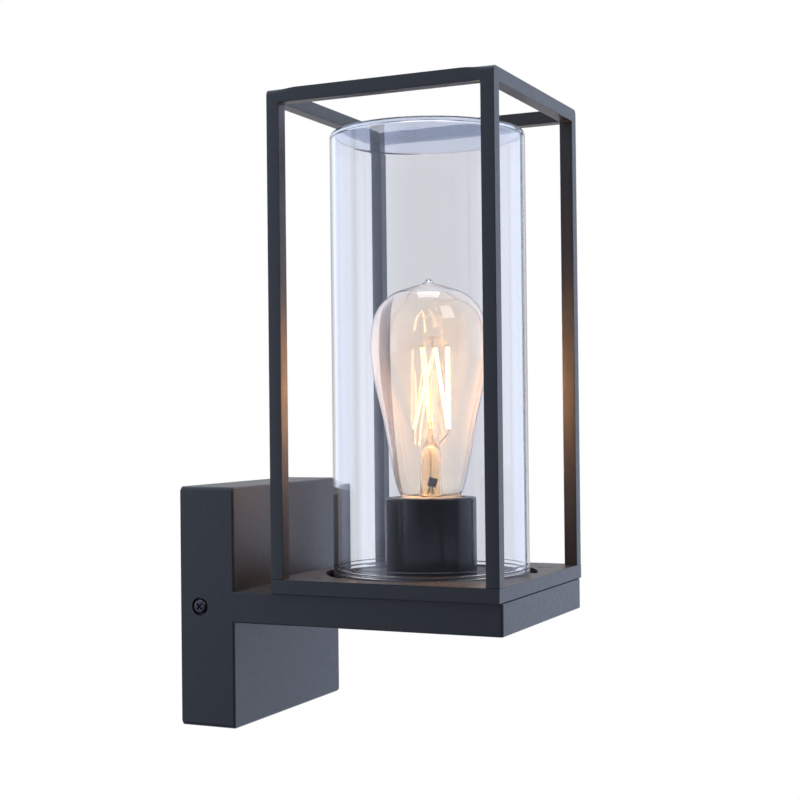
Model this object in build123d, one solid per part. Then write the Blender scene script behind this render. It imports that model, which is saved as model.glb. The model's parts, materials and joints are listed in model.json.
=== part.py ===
from build123d import *
import math
import os

os.makedirs("parts", exist_ok=True)

# Outdoor wall lantern. Millimetres. The wall is the plane y = 0, the lantern stands out
# along -Y and the lamp points up along +Z. The origin is the middle of the wall plate.

OVER = 1.0              # how far a cutting solid runs past what it cuts

# wall box
BOX_W = 120.0
BOX_H = 126.8
BOX_D = 33.0
BOX_WALL = 2.8
BOX_CORNER = 2.2
BOX_EDGE = 1.2
GASKET_T = 0.8
RIM_Y = -GASKET_T       # back edge of the box, the gasket fills the rest to the wall

# arm and tray, one piece welded to the box
SEAM_Z = 8.5            # top of the arm and tray, where the frame sits down
ARM_T = 16.2
TRAY_END = -183.4
TRAY_WALL = 4.2
TRAY_FLOOR = 3.0
DUCT_W = 32.0
DUCT_LOW = -4.7
DUCT_HIGH = 5.7
SEAL_W = 1.8
SEAL_D = 1.4
SEAL_GAP = 0.15

# open frame
FRAME_W = 126.0
FRAME_BACK = -57.0
FRAME_TOP = 269.0
BAR = 7.2
PLATE_T = 7.7
CORNER_R = 2.6          # ground corners of the front and rear rails

# lantern axis
AX_Y = -120.0

# shade and its twist ring
SHADE_R = 52.4
SHADE_WALL = 2.4
SHADE_TOP = 250.9
FOOT_R = SHADE_R + 0.2
FOOT_LOW = 16.9
FOOT_HIGH = 20.6
SEAT_Z = 13.6
WASHER_T = 1.0
GROOVE_IN = 48.2
GROOVE_OUT = 53.0
GROOVE_FLOOR = 10.9
LUG_OUT = 56.2
LUG_LOW = GROOVE_FLOOR + 0.35
LUG_HIGH = GROOVE_FLOOR + 2.15
NOTCH_OUT = 56.6
NOTCH_MID = 122.0       # middle of the first lug opening, degrees about the lantern axis
NOTCH_HALF = 22.0
LUG_HALF = 15.0
LUG_PLAY = 2.0
TWIST = 40.0

# lamp holder
HOLDER_R = 24.25
HOLDER_TOP = 56.8
MOUTH_R = 18.4
INSERT_R = 17.9
SHELL_OUT = 14.1
SHELL_IN = 13.35
SHELL_LOW = 27.0
SHELL_HIGH = 50.5
HOLDER_SCREW_X = 13.0

# lamp
CAP_R = 13.0
CAP_WALL = 0.4
CAP_LOW = 28.3
CAP_TOP = 54.3
NECK_R = 13.3
GLASS_WALL = 0.9
BULB_TOP = 173.3
STRIP_R = 1.15
LAMP_TURN = math.radians(-66.3)     # how far the lamp is screwed round, seen from above

# screws, by shank radius, head radius and clearance hole
SIDE_SCREW_Y = -12.0
SIDE_SHANK, SIDE_HEAD, SIDE_HOLE, SIDE_SINK = 1.95, 3.8, 2.3, 4.8
FRAME_SHANK, FRAME_HEAD, FRAME_HOLE, FRAME_SINK = 1.65, 3.5, 2.2, 4.0
TAPPED = 0.1            # radial room around a screw's thread
CROSS_W = 0.9           # width of a cross recess
SINK_DEPTH = 4.2

# wall plate
SHEET = 2.0
SHEET_HALF_Z = 46.0
TAB_X = 55.6
TAB_OUT = 20.0
TAB_HALF = 12.0
WALL_SLOT_X = 35.0
WALL_SLOT_R = 2.6
WALL_SLOT_HALF = 4.4
GROMMET_Z = 32.0
GROMMET_BORE = 3.6
EARTH_Z = -34.0
BOSS_X, BOSS_Z = -34.0, -38.0
LEAD_R = 1.2

PLATE_TOP = SEAM_Z + PLATE_T
ARM_LOW = SEAM_Z - ARM_T
FRAME_FRONT = FRAME_BACK - FRAME_W
FRAME_MID = FRAME_BACK - FRAME_W / 2
BOX_X = BOX_W / 2
IN_X = BOX_X - BOX_WALL
IN_Z = BOX_H / 2 - BOX_WALL
FRAME_X = FRAME_W / 2


def block(x0, x1, y0, y1, z0, z1):
    """Box between two corners."""
    mid = Pos((x0 + x1) / 2, (y0 + y1) / 2, (z0 + z1) / 2)
    return mid * Box(abs(x1 - x0), abs(y1 - y0), abs(z1 - z0))


def rod(x, y, z0, z1, r):
    """Upright cylinder between two heights."""
    return Pos(x, y, (z0 + z1) / 2) * Cylinder(r, z1 - z0)


def rod_x(x0, x1, y, z, r):
    """Cylinder along X."""
    return Pos((x0 + x1) / 2, y, z) * Rot(0, 90, 0) * Cylinder(r, abs(x1 - x0))


def rod_y(x, y0, y1, z, r):
    """Cylinder along Y."""
    return Pos(x, (y0 + y1) / 2, z) * Rot(90, 0, 0) * Cylinder(r, abs(y1 - y0))


def strut(a, b, r):
    """Round wire between two points."""
    line = Line(a, b)
    return sweep(Plane(origin=a, z_dir=line % 0) * Circle(r), path=line)


def turned(points):
    """Body of revolution about the lantern axis from (radius, height) points."""
    outline = Polyline([(r, 0, z) for r, z in points], close=True)
    return Pos(0, AX_Y, 0) * revolve(make_face(outline), Axis.Z)


def ring(r_in, r_out, z0, z1):
    """Flat ring about the lantern axis."""
    return rod(0, AX_Y, z0, z1, r_out) - rod(0, AX_Y, z0 - OVER, z1 + OVER, r_in)


def sector(r_in, r_out, z0, z1, mid, half):
    """Part of a flat ring, from mid - half to mid + half degrees."""
    corners = [(r_in, 0, z0), (r_out, 0, z0), (r_out, 0, z1), (r_in, 0, z1)]
    arc = revolve(make_face(Polyline(corners, close=True)), Axis.Z, 2 * half)
    return Pos(0, AX_Y, 0) * Rot(0, 0, mid - half) * arc


def save(name, shape):
    """One STEP file for one node."""
    parts = shape if isinstance(shape, list) else [shape]
    flat = [solid for part in parts for solid in part.solids()]
    export_step(Compound(children=flat) if len(flat) > 1 else flat[0], f"parts/{name}.step")


# ---------------------------------------------------------------- wall box
body = block(-BOX_X, BOX_X, -BOX_D, RIM_Y, -BOX_H / 2, BOX_H / 2)
body = fillet(body.edges().filter_by(Axis.Y), BOX_CORNER)
body = fillet(body.faces().sort_by(Axis.Y)[0].edges(), BOX_EDGE)
wall_box = body - block(-IN_X, IN_X, -BOX_D + BOX_WALL, OVER, -IN_Z, IN_Z)
wall_box -= block(-DUCT_W / 2, DUCT_W / 2, -BOX_D - OVER, -BOX_D + BOX_WALL + OVER, DUCT_LOW, DUCT_HIGH)

# side screws: counterbore outside, boss inside
BOSS_T = 1.2
SINK_T = 1.8
for side in (-1, 1):
    wall_box += rod_x(side * (IN_X + 0.5), side * (IN_X - BOSS_T), SIDE_SCREW_Y, 0, 6.5)
    wall_box -= rod_x(side * (BOX_X - SINK_T), side * (BOX_X + OVER), SIDE_SCREW_Y, 0, SIDE_SINK)
    wall_box -= rod_x(side * (IN_X - BOSS_T - OVER), side * BOX_X, SIDE_SCREW_Y, 0, SIDE_HOLE)

# earth boss cast into the front wall, below the arm
BOSS_R = 5.0
BOSS_END = -19.0
wall_box += rod_y(BOSS_X, -BOX_D + OVER, BOSS_END, BOSS_Z, BOSS_R)
wall_box -= rod_y(BOSS_X, BOSS_END - 8, BOSS_END + OVER, BOSS_Z, SIDE_SHANK + TAPPED)
save("wall_box", wall_box)

# ---------------------------------------------------------------- arm and tray
arm = block(-BOX_X, BOX_X, TRAY_END, -BOX_D + BOX_EDGE, ARM_LOW, SEAM_Z)
arm = fillet(arm.edges().filter_by(Axis.Z).group_by(Axis.Y)[0], 1.4)
arm = fillet(arm.faces().sort_by(Axis.Z)[0].edges(), 0.8)
arm = fillet(arm.faces().sort_by(Axis.Z)[-1].edges(), 0.4)
arm -= body

tray_x = BOX_X - TRAY_WALL
tray_y0 = TRAY_END + TRAY_WALL
tray_y1 = FRAME_BACK - TRAY_WALL
arm -= block(-tray_x, tray_x, tray_y0, tray_y1, ARM_LOW + TRAY_FLOOR, SEAM_Z + OVER)
arm -= block(-DUCT_W / 2, DUCT_W / 2, tray_y1 - OVER, -BOX_D + 2 * OVER, DUCT_LOW, DUCT_HIGH)

# seal channel along the middle of the tray's rim
seal_x = BOX_X - TRAY_WALL / 2
seal_y0 = TRAY_END + TRAY_WALL / 2
seal_y1 = FRAME_BACK - TRAY_WALL / 2


def seal_loop(slack, z0, z1):
    """Rectangular band along the middle of the tray's rim."""
    g = SEAL_W / 2 - slack
    outer = block(-seal_x - g, seal_x + g, seal_y0 - g, seal_y1 + g, z0, z1)
    return outer - block(-seal_x + g, seal_x - g, seal_y0 + g, seal_y1 - g, z0 - OVER, z1 + OVER)


arm -= seal_loop(0, SEAM_Z - SEAL_D, SEAM_Z + OVER)

# four bosses in the tray carry the frame screws, entered from below
FRAME_BOSS_R = 5.2
screw_spots = [(sx * 49, FRAME_MID + sy * 50) for sx in (-1, 1) for sy in (-1, 1)]
for px, py in screw_spots:
    arm += rod(px, py, ARM_LOW + OVER, SEAM_Z, FRAME_BOSS_R)
    arm -= rod(px, py, ARM_LOW - OVER, SEAM_Z + OVER, FRAME_HOLE)
    arm -= rod(px, py, ARM_LOW - OVER, ARM_LOW + SINK_DEPTH, FRAME_SINK)
save("arm_tray", arm)

# ---------------------------------------------------------------- wall plate and inlet
TERM_PITCH = 10.4
TERM_FIX_X = TERM_PITCH / 2
TERM_Z = -15.0
bracket = block(-TAB_X, TAB_X, -SHEET, 0, -SHEET_HALF_Z, SHEET_HALF_Z)
bracket = fillet(bracket.edges().filter_by(Axis.Y), 6)
tabs = []
for side in (-1, 1):
    for low, high in ((TAB_HALF + 2, SHEET_HALF_Z + 4), (-SHEET_HALF_Z - 4, -TAB_HALF - 2)):
        bracket -= block(side * (TAB_X - 8), side * (TAB_X + OVER), -SHEET - OVER, OVER, low, high)
    tab = block(side * TAB_X, side * (TAB_X - SHEET), -TAB_OUT, -SHEET, -TAB_HALF, TAB_HALF)
    tab = fillet(tab.edges().filter_by(Axis.X).group_by(Axis.Y)[0], 5)
    tapped_in = side * (TAB_X - 2 * SHEET)
    tabs.append(tab - rod_x(tapped_in, side * (TAB_X + OVER), SIDE_SCREW_Y, 0, SIDE_SHANK + TAPPED))
    slot_in = side * WALL_SLOT_X - WALL_SLOT_HALF
    slot_out = side * WALL_SLOT_X + WALL_SLOT_HALF
    bracket -= block(slot_in, slot_out, -SHEET - OVER, OVER, -WALL_SLOT_R, WALL_SLOT_R)
    for end in (slot_in, slot_out):
        bracket -= rod_y(end, -SHEET - OVER, OVER, 0, WALL_SLOT_R)
    bracket -= rod_y(side * TERM_FIX_X, -SHEET - OVER, OVER, TERM_Z, 1.6)
bracket -= rod_y(0, -SHEET - OVER, OVER, GROMMET_Z, 6.5)
bracket -= rod_y(0, -SHEET - OVER, OVER, EARTH_Z, SIDE_SHANK + TAPPED)
save("wall_bracket", bracket)
save("bracket_tabs", tabs)

GASKET_W = 2.8
gasket = block(-BOX_X + 0.6, BOX_X - 0.6, RIM_Y, 0, -BOX_H / 2 + 0.6, BOX_H / 2 - 0.6)
gasket = fillet(gasket.edges().filter_by(Axis.Y), 2.4)
gasket_x = BOX_X - 0.6 - GASKET_W
gasket_z = BOX_H / 2 - 0.6 - GASKET_W
gasket -= block(-gasket_x, gasket_x, -OVER - GASKET_T, OVER, -gasket_z, gasket_z)
save("wall_gasket", gasket)

HEAD_PROUD = 0.3
side_screws = []
for side in (-1, 1):
    seat_x = side * (BOX_X - SINK_T)
    head = rod_x(seat_x, side * (BOX_X + HEAD_PROUD), SIDE_SCREW_Y, 0, SIDE_HEAD)
    head = fillet(head.edges().group_by(Axis.X)[-1 if side > 0 else 0], 1.2)
    cross = Box(3, 4.6, CROSS_W) + Box(3, CROSS_W, 4.6)
    head -= Pos(side * (BOX_X + 0.5), SIDE_SCREW_Y, 0) * Rot(45, 0, 0) * cross
    side_screws.append(rod_x(seat_x, side * 49, SIDE_SCREW_Y, 0, SIDE_SHANK) + head)
save("side_screws", side_screws)

grommet = rod_y(0, -4.6, -SHEET - 0.05, GROMMET_Z, 9.4)
grommet += rod_y(0, -SHEET - 0.1, -0.4, GROMMET_Z, 6.35)
grommet += rod_y(0, -9, -4.5, GROMMET_Z, 6.4)
grommet -= rod_y(0, -12, OVER, GROMMET_Z, GROMMET_BORE)
save("cable_grommet", grommet)

# terminal block: moulded body, three brass barrels, six clamp screws, two fixing screws
TERM_Z0 = -24.0
TERM_Z1 = -6.0
TERM_FRONT = -19.0
BARREL_Y = -11.0
BARREL_R = 2.5
CLAMP_R = 1.2
terminal = block(-16, 16, TERM_FRONT, -SHEET, TERM_Z0, TERM_Z1)
terminal = fillet(terminal.edges().filter_by(Axis.Y), 1.0)
barrels = []
clamps = []
for tx in (-TERM_PITCH, 0, TERM_PITCH):
    terminal -= rod(tx, BARREL_Y, TERM_Z0 - OVER, TERM_Z1 + OVER, BARREL_R + 0.2)
    barrel = rod(tx, BARREL_Y, TERM_Z0 + 2, TERM_Z1 - 2, BARREL_R)
    for tz in (TERM_Z0 + 5, TERM_Z1 - 5):
        terminal -= rod_y(tx, TERM_FRONT - OVER, BARREL_Y, tz, 2.0)
        barrel -= rod_y(tx, -16, BARREL_Y, tz, CLAMP_R + TAPPED)
        clamp = rod_y(tx, -17.2, -12.6, tz, CLAMP_R) + rod_y(tx, -17.4, -15.6, tz, 1.7)
        clamp -= block(tx - 2, tx + 2, -18, -16.8, tz - 0.3, tz + 0.3)
        clamps.append(clamp)
    barrel -= rod(tx, BARREL_Y, TERM_Z0, TERM_Z1, 1.55)
    barrels.append(barrel)
fixings = []
for tx in (-TERM_FIX_X, TERM_FIX_X):
    terminal -= rod_y(tx, TERM_FRONT - OVER, 0, TERM_Z, 1.6)
    terminal -= rod_y(tx, TERM_FRONT - OVER, -14, TERM_Z, 2.4)
    fixing = rod_y(tx, -14, -0.6, TERM_Z, 1.35) + rod_y(tx, -15.6, -14, TERM_Z, 2.1)
    fixing -= block(tx - 3, tx + 3, -17, -15, TERM_Z - 0.3, TERM_Z + 0.3)
    fixings.append(fixing)
save("terminal_block", terminal)
save("terminal_barrels", barrels)
save("terminal_screws", clamps)
save("terminal_fixings", fixings)


def earth_screw(x, seat_y, z, reach):
    """Slotted screw along Y with a square washer, its seat at seat_y."""
    screw = rod_y(x, seat_y, seat_y + reach, z, SIDE_SHANK)
    screw += block(x - 4, x + 4, seat_y - 1, seat_y, z - 4, z + 4)
    screw += rod_y(x, seat_y - 3.6, seat_y - 1, z, 3.4)
    return screw - block(x - 4, x + 4, seat_y - 4, seat_y - 2.6, z - 0.5, z + 0.5)


# the one on the casting faces the wall, so it is the same screw turned round
plate_earth = earth_screw(0, -SHEET, EARTH_Z, SHEET)
box_earth = Pos(BOSS_X, BOSS_END, BOSS_Z) * Rot(0, 0, 180) * earth_screw(0, 0, 0, 7.0)
save("earth_screws", [plate_earth, box_earth])

# ---------------------------------------------------------------- open frame
SEAM_CHAMFER = 0.5
plate = block(-FRAME_X, FRAME_X, FRAME_FRONT, FRAME_BACK, SEAM_Z, PLATE_TOP)
plate = chamfer(plate.faces().sort_by(Axis.Z)[0].edges(), SEAM_CHAMFER)
plate -= ring(GROOVE_IN, GROOVE_OUT, GROOVE_FLOOR, PLATE_TOP + OVER)
track_half = (NOTCH_HALF + TWIST + LUG_HALF + LUG_PLAY) / 2
for turn in (0, 180):
    mid = NOTCH_MID + turn
    track_mid = mid + NOTCH_HALF - track_half
    plate -= sector(GROOVE_IN, NOTCH_OUT, GROOVE_FLOOR, PLATE_TOP + OVER, mid, NOTCH_HALF)
    plate -= sector(GROOVE_IN, NOTCH_OUT, GROOVE_FLOOR, LUG_HIGH + 0.35, track_mid, track_half)
RECESS_R = 40.0
RECESS_T = 2.6
plate -= rod(0, AX_Y, SEAM_Z - OVER, SEAM_Z + RECESS_T, RECESS_R)
plate -= rod(0, AX_Y, SEAM_Z - OVER, PLATE_TOP + OVER, 5.0)
for side in (-1, 1):
    plate -= rod(side * HOLDER_SCREW_X, AX_Y, SEAM_Z - OVER, PLATE_TOP + OVER, 1.7)
for px, py in screw_spots:
    plate -= rod(px, py, SEAM_Z - OVER, SEAM_Z + 5.4, FRAME_SHANK + TAPPED)

MARK_DEPTH = 0.35


def twist_mark(x, y, angle):
    """Plain engraved arrow beside the shade, in place of lettering."""
    bar = Pos(-1.2, 0, 0) * Box(6.4, 0.9, 2 * MARK_DEPTH)
    head = make_face(Polyline([(2.0, -1.7), (4.6, 0), (2.0, 1.7)], close=True))
    return Pos(x, y, PLATE_TOP) * Rot(0, 0, angle) * (bar + extrude(head, MARK_DEPTH, both=True))


plate -= twist_mark(-50.4, -75.6, -90) + twist_mark(39.8, -169.9, 90)
save("floor_plate", plate)

post_high = FRAME_TOP - BAR
for name, sx, y0 in (
    ("post_front_left", -1, FRAME_FRONT),
    ("post_front_right", 1, FRAME_FRONT),
    ("post_rear_left", -1, FRAME_BACK - BAR),
    ("post_rear_right", 1, FRAME_BACK - BAR),
):
    save(name, block(sx * FRAME_X, sx * (FRAME_X - BAR), y0, y0 + BAR, PLATE_TOP, post_high))
for name, y0 in (("rail_front", FRAME_FRONT), ("rail_rear", FRAME_BACK - BAR)):
    rail = block(-FRAME_X, FRAME_X, y0, y0 + BAR, post_high, FRAME_TOP)
    save(name, fillet(rail.edges().filter_by(Axis.Y).group_by(Axis.Z)[-1], CORNER_R))
for name, sx in (("rail_left", -1), ("rail_right", 1)):
    inner = sx * (FRAME_X - BAR)
    save(name, block(sx * FRAME_X, inner, FRAME_FRONT + BAR, FRAME_BACK - BAR, post_high, FRAME_TOP))

frame_screws = []
for px, py in screw_spots:
    seat_z = ARM_LOW + SINK_DEPTH
    head = rod(px, py, seat_z - 2.6, seat_z, FRAME_HEAD)
    head = fillet(head.edges().group_by(Axis.Z)[0], 1.0)
    cross = Box(4.0, CROSS_W, 3) + Box(CROSS_W, 4.0, 3)
    head -= Pos(px, py, seat_z - 3.0) * cross
    frame_screws.append(rod(px, py, seat_z, SEAM_Z + 4.6, FRAME_SHANK) + head)
save("frame_screws", frame_screws)
save("plate_seal", seal_loop(SEAL_GAP, SEAM_Z - SEAL_D, SEAM_Z))

# ---------------------------------------------------------------- shade and twist ring
# The black ring drops into the floor plate's groove and locks with two lugs.
ring_in = GROOVE_IN + 0.5
ring_out = GROOVE_OUT - 0.4
ring_top = FOOT_LOW - 0.05
plug_in = SHADE_R - SHADE_WALL
plug_out = SHADE_R - 0.9
lip_z = PLATE_TOP + 0.4
twist = turned([
    (ring_in, LUG_LOW), (ring_out, LUG_LOW), (ring_out, PLATE_TOP - 0.2), (ring_out - 0.45, ring_top),
    (plug_out + 0.3, ring_top), (plug_out + 0.3, SEAT_Z), (plug_in - 0.3, SEAT_Z), (plug_in - 0.3, lip_z),
    (ring_in, lip_z),
])
for turn in (0, 180):
    twist += sector(ring_in + 0.5, LUG_OUT, LUG_LOW, LUG_HIGH, NOTCH_MID - TWIST + turn, LUG_HALF)
save("shade_ring", twist)

# soft washer under the shade's edge
edge_z = SEAT_Z + WASHER_T
save("shade_gasket", ring(plug_in - 0.1, plug_out + 0.1, SEAT_Z, edge_z))

top = SHADE_TOP
roof = top - SHADE_WALL
shade = turned([
    (0, top), (SHADE_R - 2.6, top), (SHADE_R - 1.3, top - 0.35), (SHADE_R - 0.35, top - 1.3),
    (SHADE_R, top - 2.6), (SHADE_R, FOOT_HIGH + 0.5), (FOOT_R, FOOT_HIGH), (FOOT_R, FOOT_LOW + 0.4),
    (SHADE_R - 0.2, FOOT_LOW), (plug_out, FOOT_LOW), (plug_out, edge_z), (plug_in, edge_z), (plug_in, roof - 1.2),
    (plug_in - 0.35, roof - 0.35), (plug_in - 1.2, roof), (0, roof),
])
save("shade", shade)

# ---------------------------------------------------------------- lamp holder
holder_in = 21.8
holder = turned([
    (holder_in - 0.8, PLATE_TOP), (HOLDER_R, PLATE_TOP), (HOLDER_R, HOLDER_TOP - 1.2),
    (HOLDER_R - 0.35, HOLDER_TOP - 0.35), (HOLDER_R - 1.2, HOLDER_TOP), (MOUTH_R + 0.6, HOLDER_TOP),
    (MOUTH_R, HOLDER_TOP - 0.6), (MOUTH_R, HOLDER_TOP - 3.2), (holder_in, HOLDER_TOP - 5.2),
    (holder_in, PLATE_TOP + 3), (holder_in - 0.8, PLATE_TOP + 3),
])
save("lampholder_skirt", holder)

FLANGE_R = 20.6
LEAD_HOLE_R = 4.0
insert = rod(0, AX_Y, PLATE_TOP, HOLDER_TOP - 0.6, INSERT_R)
insert += rod(0, AX_Y, PLATE_TOP, PLATE_TOP + 4.0, FLANGE_R)
insert -= rod(0, AX_Y, SHELL_HIGH + 2, HOLDER_TOP, INSERT_R - 1.0)
insert -= rod(0, AX_Y, SHELL_LOW - 1, SHELL_HIGH + 2.5, SHELL_OUT + 0.3)
insert -= rod(0, AX_Y, PLATE_TOP - OVER, SHELL_LOW, LEAD_HOLE_R)
for side in (-1, 1):
    insert -= rod(side * HOLDER_SCREW_X, AX_Y, PLATE_TOP - OVER, PLATE_TOP + 5.6, 1.4)
save("lampholder_insert", insert)
save("lampholder_shell", ring(SHELL_IN, SHELL_OUT, SHELL_LOW, SHELL_HIGH))

# sprung centre tongue on its post
TONGUE_X = 3.0
TONGUE_Y = 2.0
STRIP_T = 0.6
tongue = rod(0, AX_Y, 19.0, 22.0, 2.2)
tongue += block(-TONGUE_X, TONGUE_X, AX_Y - TONGUE_Y, AX_Y + TONGUE_Y, 22.0, 22.0 + STRIP_T)
tongue += block(-TONGUE_X, -TONGUE_X + STRIP_T, AX_Y - TONGUE_Y, AX_Y + TONGUE_Y, 22.0, 25.6)
tongue += block(-TONGUE_X, TONGUE_X - STRIP_T, AX_Y - TONGUE_Y, AX_Y + TONGUE_Y, 25.2, 25.2 + STRIP_T)
tongue += rod(0, AX_Y, 25.6, CAP_LOW - 0.05, 1.8)
save("lampholder_contact", tongue)

holder_screws = []
for side in (-1, 1):
    x = side * HOLDER_SCREW_X
    screw = rod(x, AX_Y, SEAM_Z + RECESS_T, PLATE_TOP + 5.0, 1.35)
    head = rod(x, AX_Y, SEAM_Z + 0.4, SEAM_Z + RECESS_T, 2.9)
    head -= Pos(x, AX_Y, SEAM_Z) * (Box(3.4, 0.8, 2.4) + Box(0.8, 3.4, 2.4))
    holder_screws.append(screw + head)
save("lampholder_screws", holder_screws)


# ---------------------------------------------------------------- inner leads
def lead(points):
    """Insulated wire: straight runs joined by arcs as large as the runs allow."""
    spots = [Vector(*p) for p in points]
    edges = []
    start = spots[0]
    for before, corner, after in zip(spots, spots[1:], spots[2:]):
        come = (corner - before).normalized()
        go = (after - corner).normalized()
        cut = 0.45 * min((corner - before).length, (after - corner).length)
        half_turn = math.radians(come.get_angle(go)) / 2
        bend = cut / math.tan(half_turn)
        crest = corner + (go - come).normalized() * (bend / math.cos(half_turn) - bend)
        edges.append(Line(start, corner - come * cut))
        edges.append(ThreePointArc(corner - come * cut, crest, corner + go * cut))
        start = corner + go * cut
    edges.append(Line(start, spots[-1]))
    return sweep(Plane(origin=spots[0], z_dir=spots[1] - spots[0]) * Circle(LEAD_R), path=Wire(edges))


save("lead_live", lead([
    (-TERM_PITCH, BARREL_Y, -12), (-TERM_PITCH, BARREL_Y, -4.5), (-9.0, -18, 1.4), (-7.0, -34, 0.8),
    (-5.4, -62, -1.0), (-4.0, -90, -1.6), (-3.0, -112, 0.6), (-2.2, AX_Y, 8), (-2.2, AX_Y, 17),
]))
save("lead_neutral", lead([
    (0, BARREL_Y, -12), (0, BARREL_Y, -4.5), (0.4, -18, 1.6), (0.8, -34, 0.2),
    (1.0, -62, -1.8), (2.0, -90, -1.4), (2.6, -112, 0.2), (2.2, AX_Y, 8), (2.2, AX_Y, 17),
]))
save("lead_earth", lead([
    (TERM_PITCH, BARREL_Y, -18), (TERM_PITCH, BARREL_Y, -30), (4, -13, -41), (-11, -15, -49),
    (-26, -17.2, -55), (BOSS_X, -17.7, -51), (BOSS_X, -17.7, -42),
]))

# ---------------------------------------------------------------- lamp
# pear-shaped glass: (radius, height) of its outside from the neck to the foot of the tip
glass_out = [
    (NECK_R, CAP_TOP), (17.6, 60.6), (21.0, 75.0), (24.9, 97.0), (29.9, 119.5), (31.9, 138.5), (28.6, 155.3),
    (20.2, 164.7), (7.6, 169.5),
]
tip_out = [(7.6, 169.5), (4.6, 171.4), (1.2, BULB_TOP), (0, BULB_TOP)]
outside = Spline([Vector(r, 0, z) for r, z in glass_out])
steps = 24
inside_points = []
for k in range(steps + 1):
    spot = outside @ (k / steps)
    along = outside % (k / steps)
    inside_points.append(Vector(spot.X - GLASS_WALL * along.Z, 0, spot.Z + GLASS_WALL * along.X))
inside_points[0] = Vector(NECK_R - GLASS_WALL, 0, CAP_TOP)
inside = Spline(inside_points)
roof_z = inside_points[-1].Z + 0.25
outline = [
    outside,
    Spline([Vector(r, 0, z) for r, z in tip_out]),
    Line((0, 0, BULB_TOP), (0, 0, roof_z)),
    Line((0, 0, roof_z), inside_points[-1]),
    inside,
    Line((NECK_R - GLASS_WALL, 0, CAP_TOP), (NECK_R, 0, CAP_TOP)),
]
save("bulb_glass", Pos(0, AX_Y, 0) * revolve(make_face(outline), Axis.Z))

# stem: straight tube, narrowed into the press that holds the wires
STEM_LOW = 57.0
STEM_TOP = 97.0
save("bulb_stem", turned([
    (0, STEM_LOW), (6.1, STEM_LOW), (5.5, 70.0), (5.2, 79.0), (4.4, 83.0), (2.4, 86.5), (1.6, 90.0),
    (1.6, STEM_TOP), (0, STEM_TOP),
]))


def in_lamp(side, ahead, z):
    """Point in the lamp from its sideways, forward and height offsets."""
    x = side * math.cos(LAMP_TURN) + ahead * math.sin(LAMP_TURN)
    y = side * math.sin(LAMP_TURN) - ahead * math.cos(LAMP_TURN)
    return (x, AX_Y + y, z)


# four straight light strips between an upper and a lower ring of lead wires
strips = [
    ((3.0, 6.0, 137.0), (9.6, 3.2, 92.0)),
    ((9.8, 0.0, 137.6), (9.9, -2.2, 92.0)),
    ((3.0, -6.0, 137.0), (-9.2, -1.5, 92.0)),
    ((-3.8, 0.0, 137.6), (0.6, -8.6, 92.0)),
]
strips = [(in_lamp(*a), in_lamp(*b)) for a, b in strips]
save("bulb_filaments", [strut(a, b, STRIP_R) for a, b in strips])

END_GAP = 1.2           # from a strip's end to its wire
SPREAD = 0.55           # where the lower wires leave the press, as a share of the strips' radius
crown = in_lamp(1.6, 0, 142.5)
upper = strut((0, AX_Y, STEM_TOP + 0.1), crown, 0.35)
lower = []
for a, b in strips:
    upper += strut(crown, (a[0], a[1], a[2] + END_GAP), 0.3)
    near = (b[0] * SPREAD, AX_Y + (b[1] - AX_Y) * SPREAD, 86.0)
    lower.append(strut(near, (b[0], b[1], b[2] - END_GAP), 0.3))
save("bulb_wires", [upper] + lower)

# small getter tag on two legs at the foot of the stem
TAG_TILT = 17
tag = Rot(0, TAG_TILT, 0) * Box(4.6, 0.4, 4.8)
tag += Pos(-1.9, 0, -3.9) * Rot(0, 14, 0) * Cylinder(0.3, 5)
tag += Pos(0.1, 0, -3.9) * Rot(0, -5, 0) * Cylinder(0.3, 5)
tag_at = in_lamp(0.9, 9.6, 64.9)
save("bulb_getter", Pos(*tag_at) * Rot(0, 0, math.degrees(LAMP_TURN)) * tag)

FLOOR_Z = CAP_LOW + 7.0
cap = rod(0, AX_Y, FLOOR_Z, CAP_TOP - 0.05, CAP_R)
cap -= rod(0, AX_Y, FLOOR_Z + CAP_WALL, CAP_TOP + OVER, CAP_R - CAP_WALL)
cap -= rod(0, AX_Y, FLOOR_Z - OVER, FLOOR_Z + OVER, 8.0)
save("bulb_cap", cap)
CONTACT_R = 4.0
save("bulb_insulator", turned([
    (CONTACT_R + 0.2, CAP_LOW + 1.2), (5.6, CAP_LOW + 1.4), (11.4, CAP_LOW + 6.0), (12.0, FLOOR_Z - 0.05),
    (CONTACT_R + 0.2, FLOOR_Z - 0.05),
]))
save("bulb_contact", turned([
    (0, CAP_LOW), (2.4, CAP_LOW), (CONTACT_R, CAP_LOW + 0.9), (CONTACT_R, CAP_LOW + 4.0), (0, CAP_LOW + 4.0),
]))
board = block(-8, 8, AX_Y - 0.8, AX_Y + 0.8, CAP_LOW + 8.4, CAP_LOW + 22.4)
save("bulb_driver", board + rod(-3.6, AX_Y, CAP_LOW + 9, CAP_LOW + 20, 2.6))
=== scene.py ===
"""Outdoor wall lantern: the looks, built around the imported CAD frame."""
import json
import math

import bmesh
import bpy
from mathutils import Matrix, Vector


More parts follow.
